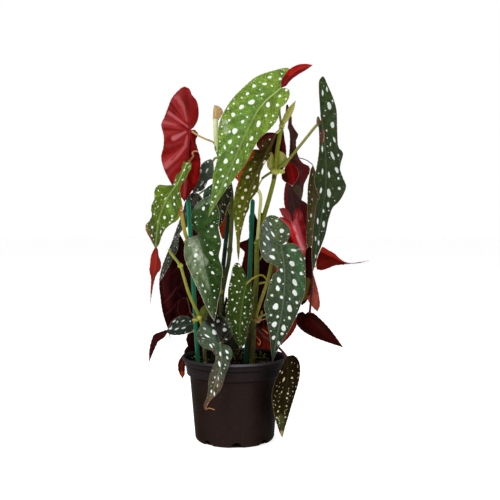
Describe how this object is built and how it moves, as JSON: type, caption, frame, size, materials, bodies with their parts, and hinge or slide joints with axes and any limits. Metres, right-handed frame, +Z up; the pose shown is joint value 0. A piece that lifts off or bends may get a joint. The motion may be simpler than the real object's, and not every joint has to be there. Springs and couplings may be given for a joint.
{
  "type": "potted polka dot begonia",
  "caption": "Cane begonia with large white-spotted, red-backed leaves on upright canes and stakes, in a round dark nursery pot of soil.",
  "frame": {"origin": "centre of the flat underside of the pot's floor", "axes": "+Z up along the pot's axis and the canes, -Y towards the front, where the largest spotted leaves face, +X to the viewer's right"},
  "size_m": [0.2968, 0.1687, 0.492],
  "materials": {
    "pot": "satin dark brown moulded plastic",
    "soil": "damp crumbly potting mix with pale grit",
    "stake": "satin green coated stake",
    "cane": "smooth yellow-green cane, olive and tan in places",
    "leaf_green": "satin dark green with white spots, red underside",
    "leaf_bright": "satin bright green with white spots, red underside",
    "leaf_olive": "satin olive brown with pale spots, red underside",
    "leaf_red": "satin deep red underside",
    "leaf_maroon": "satin dark maroon underside"
  },
  "bodies": {
    "root": {"pot": "pot", "soil": "soil", "stake_left": "stake", "stake_centre": "stake", "stake_rear": "stake", "cane_right": "cane", "cane_left": "cane", "cane_centre": "cane", "leaf_crown": "leaf_bright", "leaf_left_red": "leaf_red", "leaf_left_lime": "leaf_bright", "leaf_left_small": "leaf_green", "leaf_centre_left": "leaf_green", "leaf_centre_dark": "leaf_green", "leaf_olive": "leaf_olive", "leaf_right_tall": "leaf_green", "leaf_right_olive": "leaf_olive", "leaf_lower_right": "leaf_green", "leaf_lower_centre": "leaf_green", "leaf_over_rim": "leaf_green", "leaf_hanging_right": "leaf_olive", "leaf_lower_left": "leaf_green", "leaf_left_maroon": "leaf_maroon", "leaf_right_red": "leaf_red", "leaf_right_low": "leaf_maroon", "leaf_right_rounded": "leaf_red", "leaf_crimson": "leaf_red", "leaf_rear_tall": "leaf_maroon", "leaf_rear_fold": "leaf_red", "leaf_rear_top": "leaf_maroon", "leaf_rear_centre": "leaf_maroon", "leaf_rear_low": "leaf_red", "leaf_rear_small": "leaf_red", "leaf_back_crown": "leaf_maroon", "leaf_back_left": "leaf_maroon", "leaf_back_right": "leaf_maroon", "leaf_hanging_left": "leaf_red", "leaf_left_dark": "leaf_green", "leaf_left_inner": "leaf_red", "leaf_right_inner": "leaf_olive", "leaf_rear_wide": "leaf_maroon", "leaf_rear_red": "leaf_red", "leaf_low_dark": "leaf_green"}
  },
  "joints": []
}
